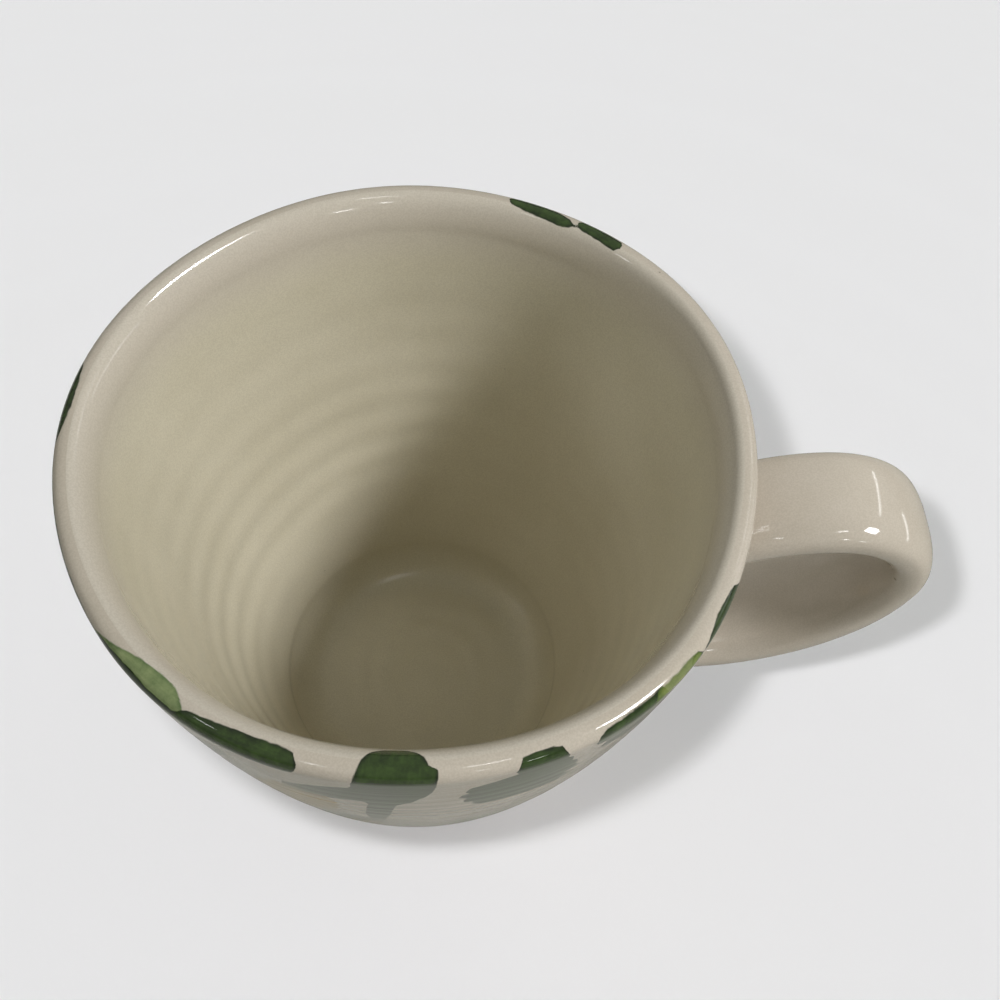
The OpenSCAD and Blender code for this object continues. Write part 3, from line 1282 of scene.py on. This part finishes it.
@dataclass
class PulledStrap:
    """The pulled strap handle, the clay that lutes it to the cup and its glass coat."""

    form: WallForm
    hand: ThrowingHand
    width: float = 15.4 * MM
    thickness: float = 6.9 * MM
    root_z: float = 78 * MM
    root_gap: float = 3.4 * MM
    rise: float = 31.0
    bends: tuple[Bend, ...] = (
        Bend(28 * MM, 25), Bend(13.4 * MM, 100), Bend(32 * MM, 27), Bend(34 * MM, 58))
    step_turn: float = 2.5
    section_points: int = 56
    squareness: float = 2.7
    flare: float = 2.4 * MM
    far_spread: float = 0.34
    near_spread: float = 0.02
    spread_from: float = 0.15
    spread_over: float = 0.45
    ripple: float = 0.12 * MM
    sink: float = 0.12 * MM
    root_rings: int = 9

    def build(self, finishes: Finishes) -> list[bpy.types.Object]:
        """Makes the handle's pieces.

        Args:
            finishes: the materials.

        Returns:
            The pieces.
        """
        strap = self.tube(self.form.glaze_t)
        self.close_ends(strap)
        mesh = finished_mesh(strap, "pulled_strap")
        pieces = [placed(mesh, finishes.clay, "handle_strap")]
        for upper, node in ((True, "upper_handle_joint"), (False, "lower_handle_joint")):
            mesh = finished_mesh(self.joint(upper), node.replace("_handle_joint", "_luted_joint"))
            pieces.append(placed(mesh, finishes.clay, node))
        mesh = finished_mesh(self.coat(), "handle_glaze_coat", 70.0)
        coat = placed(mesh, finishes.plain, "handle_glaze")
        lit_group(HANDLE_GROUP).objects.link(coat)
        return pieces + [coat]

    def start(self) -> tuple[Vector, float]:
        """Gives the middle of the strap's upper end and its heading in radians."""
        radius = self.form.outer_r(self.root_z) + self.root_gap
        return Vector((radius, 0, self.root_z)), radians(self.rise)

    def section(self, depth: float) -> list[tuple[float, float]]:
        """Outlines the strap's round-edged section.

        Args:
            depth: distance under the glaze's skin.

        Returns:
            Points (across the thickness, across the width).
        """
        half_t, half_w = self.thickness / 2 - depth, self.width / 2 - depth
        power = 2 / self.squareness
        points = []
        for k in range(self.section_points):
            a = FULL_TURN * k / self.section_points
            c, s = cos(a), sin(a)
            points.append((half_t * abs(c) ** power * (1 if c > 0 else -1),
                           half_w * abs(s) ** power * (1 if s > 0 else -1)))
        return points

    def tube(self, depth: float) -> bmesh.types.BMesh:
        """Bends a ring of the strap's section along its arcs.

        Args:
            depth: distance under the glaze's skin.

        Returns:
            The bmesh, open at both ends, with each point's share of the way along it.
        """
        bm = bmesh.new()
        share_layer = bm.verts.layers.float.new("share")
        place, heading = self.start()
        ring = self.ring(bm, place, heading, depth)
        total = sum(bend.radius * bend.turn for bend in self.bends)
        done = 0.0
        for bend in self.bends:
            steps = round(bend.turn / self.step_turn)
            centre = place + bend.radius * Vector((sin(heading), 0, -cos(heading)))
            for _ in range(steps):
                made = bmesh.ops.spin(bm, geom=ring, cent=centre, axis=(0, 1, 0), dvec=(0, 0, 0),
                                      angle=radians(bend.turn / steps), steps=1,
                                      use_merge=False, use_duplicate=False)
                ring = made["geom_last"]
                done += bend.radius * bend.turn / steps
                for item in ring:
                    if isinstance(item, bmesh.types.BMVert):
                        item[share_layer] = done / total
            heading -= radians(bend.turn)
            place = centre + bend.radius * Vector((-sin(heading), 0, cos(heading)))
        return bm

    def ring(self, bm: bmesh.types.BMesh, place: Vector, heading: float, depth: float) -> list:
        """Adds a closed ring of section points.

        Args:
            bm: the bmesh to add to.
            place: the middle of the ring.
            heading: the strap's heading there, in radians.
            depth: distance under the glaze's skin.

        Returns:
            The ring's points and edges.
        """
        normal = Vector((-sin(heading), 0, cos(heading)))
        verts = [bm.verts.new(place + normal * t + Vector((0, w, 0)))
                 for t, w in self.section(depth)]
        edges = [bm.edges.new((v, verts[(k + 1) % len(verts)])) for k, v in enumerate(verts)]
        return verts + edges

    def ends(self) -> tuple[tuple[Vector, Vector], tuple[Vector, Vector]]:
        """Finds the strap's two ends.

        Returns:
            For the upper and the lower end, its middle and the way from it back to the cup.
        """
        place, heading = self.start()
        first = (place.copy(), -Vector((cos(heading), 0, sin(heading))))
        for bend in self.bends:
            centre = place + bend.radius * Vector((sin(heading), 0, -cos(heading)))
            heading -= radians(bend.turn)
            place = centre + bend.radius * Vector((-sin(heading), 0, cos(heading)))
        return first, (place, Vector((cos(heading), 0, sin(heading))))

    def reach_wall(self, point: Vector, way: Vector, depth: float) -> Vector:
        """Follows a straight line to the cup's worked skin.

        Args:
            point: where the line starts, outside the cup.
            way: its direction.
            depth: distance under the skin at which it stops.

        Returns:
            The place on the wall.
        """
        near, far = 0.0, 20 * MM
        for _ in range(13):
            middle = (near + far) / 2
            at = point + way * middle
            if hypot(at.x, at.y) > self.hand.skin_r(atan2(at.y, at.x), at.z) - depth:
                near = middle
            else:
                far = middle
        return point + way * near

    def grow_root(self, bm: bmesh.types.BMesh, edges: list, middle: Vector, way: Vector,
                  depth: float, bury: float) -> list:
        """Extrudes an end of the strap to the wall in a hollow curve.

        Args:
            bm: the bmesh.
            edges: the ring at the strap's end.
            middle: the middle of that ring.
            way: the way from the ring back to the cup.
            depth: distance under the glaze's skin at the wall.
            bury: how far the last ring sinks into the wall.

        Returns:
            The edges of the last ring.
        """
        layers = bm.verts.layers.float_vector
        begin_at, corner_at, land_at = (
            layers.get(name) or layers.new(name) for name in ("begin", "corner", "land"))
        for vert in {v for e in edges for v in e.verts}:
            out = vert.co - middle
            out = out - way * out.dot(way)
            vert[begin_at] = vert.co
            vert[corner_at] = self.reach_wall(vert.co, way, depth)
            vert[land_at] = self.reach_wall(vert.co + out.normalized() * self.flare, way, depth)
        for step in range(1, self.root_rings + 2):
            made = bmesh.ops.extrude_edge_only(bm, edges=edges)["geom"]
            edges = [item for item in made if isinstance(item, bmesh.types.BMEdge)
                     and all(v in made for v in item.verts)]
            verts = {v for e in edges for v in e.verts}
            edges = [e for e in edges if e.is_boundary]
            share = min(step / self.root_rings, 1.0)
            for vert in verts:
                begin, corner, landing = (
                    Vector(vert[layer]) for layer in (begin_at, corner_at, land_at))
                if step > self.root_rings:
                    vert.co = landing - Vector((landing.x, landing.y, 0)).normalized() * bury
                else:
                    vert.co = ((1 - share) ** 2 * begin + 2 * share * (1 - share) * corner
                               + share**2 * landing)
        return edges

    def worked(self, bm: bmesh.types.BMesh) -> None:
        """Widens the strap's lower run and ripples it slightly, as a hand pulls it.

        Args:
            bm: the strap; it is changed.
        """
        share_layer = bm.verts.layers.float.get("share")
        for vert in bm.verts:
            share = vert[share_layer]
            hold = sin(pi * min(max(share, 0), 1))
            spread = min(max((share - self.spread_from) / self.spread_over, 0), 1)
            growth = self.far_spread if vert.co.y > 0 else self.near_spread
            vert.co.y *= 1 + growth * spread**2 * (3 - 2 * spread) + 0.01 * sin(9 * share)
            vert.co.x += self.ripple * sin(7.0 * share + vert.co.y / (4 * MM)) * hold

    def boundary(self, bm: bmesh.types.BMesh, middle: Vector) -> list:
        """Finds the open edges near a place, within the strap's width.

        Args:
            bm: the shape.
            middle: the place.

        Returns:
            The edges.
        """
        return [e for e in bm.edges if e.is_boundary
                and all((v.co - middle).length < self.width for v in e.verts)]

    def close_ends(self, bm: bmesh.types.BMesh) -> None:
        """Works the strap and fills both its ends.

        Args:
            bm: the strap; it is changed.
        """
        self.worked(bm)
        for middle, _ in self.ends():
            bmesh.ops.edgeloop_fill(bm, edges=self.boundary(bm, middle))
        bmesh.ops.recalc_face_normals(bm, faces=bm.faces)

    def joint(self, upper: bool) -> bmesh.types.BMesh:
        """Makes one luted joint between the strap's end and the clay wall.

        Args:
            upper: whether it is the upper one.

        Returns:
            A closed bmesh.
        """
        middle, way = self.ends()[0 if upper else 1]
        heading = atan2(-way.z, -way.x) if upper else atan2(way.z, way.x)
        bm = bmesh.new()
        ring = self.ring(bm, middle, heading, self.form.glaze_t)
        first = [item for item in ring if isinstance(item, bmesh.types.BMEdge)]
        last = self.grow_root(bm, list(first), middle, way, self.form.glaze_t, 0.0)
        bmesh.ops.edgeloop_fill(bm, edges=first)
        bmesh.ops.edgeloop_fill(bm, edges=last)
        bmesh.ops.remove_doubles(bm, verts=bm.verts, dist=MERGE_DISTANCE)
        bmesh.ops.recalc_face_normals(bm, faces=bm.faces)
        return bm

    def coat(self) -> bmesh.types.BMesh:
        """Makes the glass coat of the strap and its joints, a closed skin of even thickness.

        Returns:
            A closed bmesh.
        """
        skins = []
        for depth in (0.0, self.form.glaze_t):
            bm = self.tube(depth)
            self.worked(bm)
            for middle, way in self.ends():
                self.grow_root(bm, self.boundary(bm, middle), middle, way, 0.0, self.sink)
            mesh = bpy.data.meshes.new("strap skin")
            bm.to_mesh(mesh)
            bm.free()
            skins.append(mesh)
        joined = bmesh.new()
        for mesh in skins:
            joined.from_mesh(mesh)
            bpy.data.meshes.remove(mesh)
        for middle, way in self.ends():
            wall = self.reach_wall(middle, way, 0.0)
            bmesh.ops.bridge_loops(joined, edges=self.boundary(joined, wall))
        bmesh.ops.recalc_face_normals(joined, faces=joined.faces)
        return joined


# ---------------------------------------------------------------- stage


class LightRole(Enum):
    """What a studio light does for the mug."""

    KEY = "lights the clay and shines in the glaze"
    FILL = "only lights the clay"
    WINDOW = "only shines in the glaze"


def new_lamp(name: str, kind: str, energy: float, group: str) -> bpy.types.Object:
    """Adds a lamp to the scene.

    Args:
        name: the lamp's name.
        kind: its type.
        energy: its strength.
        group: the collection that it lights.

    Returns:
        The lamp, which still has to be placed.
    """
    data = bpy.data.lights.new(name, kind)
    data.energy = energy
    lamp = bpy.data.objects.new(name, data)
    bpy.context.scene.collection.objects.link(lamp)
    lamp.light_linking.receiver_collection = lit_group(group)
    return lamp


@dataclass(frozen=True)
class SoftLight:
    """A soft studio light that faces the mug. Angles are in degrees and lengths in metres."""

    name: str
    azimuth: float
    elevation: float
    distance: float
    size: tuple[float, float]
    watts: float
    role: LightRole = LightRole.FILL
    roll: float = 0.0
    group: str = MUG_GROUP
    target: tuple[float, float, float] = (0.0, 0.0, 0.06)

    def hang(self) -> None:
        """Adds the light to the scene and turns it to the mug."""
        lamp = new_lamp(self.name, "AREA", self.watts, self.group)
        lamp.data.shape = "RECTANGLE"
        lamp.data.size, lamp.data.size_y = self.size
        lamp.visible_glossy = self.role is not LightRole.FILL
        lamp.visible_diffuse = self.role is not LightRole.WINDOW
        turn, rise = radians(self.azimuth), radians(self.elevation)
        out = Vector((cos(turn) * cos(rise), sin(turn) * cos(rise), sin(rise)))
        place = Matrix.Translation(Vector(self.target) + out * self.distance)
        facing = (-out).to_track_quat("-Z", "Y").to_matrix().to_4x4()
        lamp.matrix_world = place @ facing @ Matrix.Rotation(radians(self.roll), 4, "Z")


@dataclass(frozen=True)
class EvenFloorLight:
    """A light from straight above on the floor alone, which nothing shades."""

    name: str
    strength: float

    def hang(self) -> None:
        """Adds the light to the scene."""
        lamp = new_lamp(self.name, "SUN", self.strength, FLOOR_GROUP)
        lamp.light_linking.blocker_collection = lit_group(FLOOR_GROUP)


@dataclass(frozen=True)
class FloorLamp:
    """A small lamp that lights the floor alone, as strongly far away as near.

    Held close to the camera, it throws a narrow shadow round the mug's outline.
    """

    name: str
    place: tuple[float, float, float]
    radius: float
    watts: float

    def hang(self) -> None:
        """Adds the lamp to the scene."""
        lamp = new_lamp(self.name, "POINT", self.watts, FLOOR_GROUP)
        lamp.location = self.place
        lamp.data.shadow_soft_size = self.radius
        lamp.data.use_nodes = True
        n = Nodes(lamp.data.node_tree)
        steady = n.add("LightFalloff", inputs={"Strength": 1.0}).outputs["Constant"]
        n.wire(steady, n.tree.nodes["Emission"].inputs["Strength"])


@dataclass
class Studio:
    """A pale floor, soft light and the camera."""

    eye: tuple[float, float, float] = (5.56 * MM, -72.92 * MM, 201.58 * MM)
    look_at: tuple[float, float, float] = (15.27 * MM, 46.52 * MM, 0.0)
    roll: float = 6.39
    lens: float = 36.0
    sensor: float = 36.0
    nearest: float = 0.01
    floor_half: float = 3.0
    floor_pale: Colour = (0.807, 0.80, 0.828)
    floor_dim: Colour = (0.37, 0.365, 0.34)
    sky: float = 0.215
    sky_rise: tuple[float, float] = (0.02, 0.45)
    ground_glow: float = 0.25
    sky_tint: Colour = (0.97, 1.0, 0.90)
    backdrop: Colour = (0.72, 0.72, 0.72)
    lamp_at: tuple[float, float, float] = (-7.5 * MM, -63 * MM, 207 * MM)
    lamp_share: float = 0.35

    def build(self) -> None:
        """Sets the stage."""
        self.lay_floor()
        self.light()
        self.aim_camera()
        bpy.context.scene.view_settings.view_transform = "Standard"

    def lay_floor(self) -> None:
        """Lays a pale floor that bounces less light than it shows."""
        bm = bmesh.new()
        bmesh.ops.create_grid(bm, x_segments=1, y_segments=1, size=self.floor_half)
        mesh = bpy.data.meshes.new("pale_floor")
        bm.to_mesh(mesh)
        bm.free()
        floor = bpy.data.objects.new("pale_floor", mesh)
        bpy.context.scene.collection.objects.link(floor)
        lit_group(FLOOR_GROUP).objects.link(floor)
        n, shader, place = new_material("pale floor")
        seen = n.add("LightPath").outputs["Is Camera Ray"]
        apart = n.add("VectorMath", operation="DISTANCE")
        n.wire(place, apart.inputs[0])
        apart.inputs[1].default_value = self.lamp_at
        slant = n.math("DIVIDE", self.lamp_at[2], apart.outputs["Value"])
        lit = n.math("MULTIPLY_ADD", slant, self.lamp_share, 1 - self.lamp_share)
        evened = n.blend(1.0, self.floor_pale, n.math("DIVIDE", 1.0, lit), "MULTIPLY")
        n.wire(n.blend(seen, self.floor_dim, evened), shader.inputs["Base Color"])
        shader.inputs["Roughness"].default_value = 1.0
        shader.inputs["Specular IOR Level"].default_value = 0.0
        mesh.materials.append(bpy.data.materials["pale floor"])

    def light(self) -> None:
        """Hangs the lights and sets the sky."""
        world = bpy.data.worlds.new("soft sky")
        world.use_nodes = True
        n = Nodes(world.node_tree)
        sky = n.tree.nodes["Background"]
        height = n.add("SeparateXYZ")
        n.wire(n.add("TexCoord").outputs["Generated"], height.inputs[0])
        rise = n.between(height.outputs["Z"], *self.sky_rise)
        glow = n.times(n.plus(rise, self.ground_glow), self.sky)
        seen = n.add("LightPath").outputs["Is Camera Ray"]
        n.wire(n.blend(seen, self.sky_tint, self.backdrop), sky.inputs["Color"])
        strength = n.math("MULTIPLY_ADD", seen, n.minus(1.0, glow), glow)
        n.wire(strength, sky.inputs["Strength"])
        bpy.context.scene.world = world
        window = LightRole.WINDOW
        lights = (
            SoftLight("key", -18.8, 46.7, 1.0, (0.22, 0.18), 7.2, LightRole.KEY),
            SoftLight("back fill", 115, 30, 1.2, (0.6, 0.3), 0.9),
            SoftLight("left fill", 175, 32, 1.2, (0.5, 0.3), 0.9),
            SoftLight("front fill", -72, 8, 1.2, (0.6, 0.2), 1.5),
            SoftLight("handle front fill", -80, 0, 1.2, (0.4, 0.2), 0.6, group=HANDLE_GROUP),
            SoftLight("handle back fill", 95, 22, 1.2, (0.2, 0.1), 3.6, group=HANDLE_GROUP),
            SoftLight("long window", 31, 31, 1.2, (0.035, 0.60), 0.45, window, 49),
            SoftLight("low window", 8, 11, 1.2, (0.62, 0.05), 0.5, window),
            SoftLight("high panel", -60, 62, 1.2, (0.16, 0.05), 0.4, window),
            SoftLight("small panel", -58, 14, 1.2, (0.10, 0.05), 0.3, window),
            SoftLight("smaller panel", -70, 26, 1.2, (0.07, 0.05), 0.2, window),
            SoftLight("panel front left", -118, 50, 1.2, (0.10, 0.05), 0.2, window),
            SoftLight("panel left", -152, 44, 1.2, (0.10, 0.05), 0.2, window),
        )
        floor_lights = (
            FloorLamp("floor lamp beside the camera", self.lamp_at, 4 * MM, 15.0),
            EvenFloorLight("even floor light", 1.14),
        )
        for lamp in lights + floor_lights:
            lamp.hang()

    def aim_camera(self) -> None:
        """Places the camera above the near side of the mug, turned a little about its view."""
        data = bpy.data.cameras.new("camera")
        data.lens = self.lens
        data.sensor_width = self.sensor
        data.clip_start = self.nearest
        camera = bpy.data.objects.new("camera", data)
        bpy.context.scene.collection.objects.link(camera)
        way = Vector(self.look_at) - Vector(self.eye)
        turn = way.to_track_quat("-Z", "Y").to_matrix().to_4x4()
        roll = Matrix.Rotation(radians(self.roll), 4, "Z")
        camera.matrix_world = Matrix.Translation(self.eye) @ turn @ roll
        bpy.context.scene.camera = camera


# ---------------------------------------------------------------- making the mug


def read_form() -> WallForm:
    """Takes the cup's driving sizes from the frame.

    Returns:
        The cup's section.
    """
    coat_low, coat_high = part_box("outside_glaze")
    foot_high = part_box("foot_ring")[1].z
    floor_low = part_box("inside_glaze")[0].z
    return WallForm(mouth_r=-coat_low.x, cup_h=coat_high.z, foot_r=FOOT_R, foot_h=foot_high,
                    glaze_line=coat_low.z, floor_z=floor_low + WallForm.glaze_t)


def main() -> None:
    """Builds the mug, sets the stage and reports each piece."""
    logging.basicConfig(level=logging.INFO, format="%(message)s")
    form = read_form()
    hand = ThrowingHand(form)
    finishes = Finishes()
    pieces = ThrownCup(form, hand, LeafPainting()).build(finishes)
    pieces += PulledStrap(form, hand).build(finishes)
    Studio().build()
    log.info("%d pieces", len(pieces))


if __name__ == "__main__":
    main()
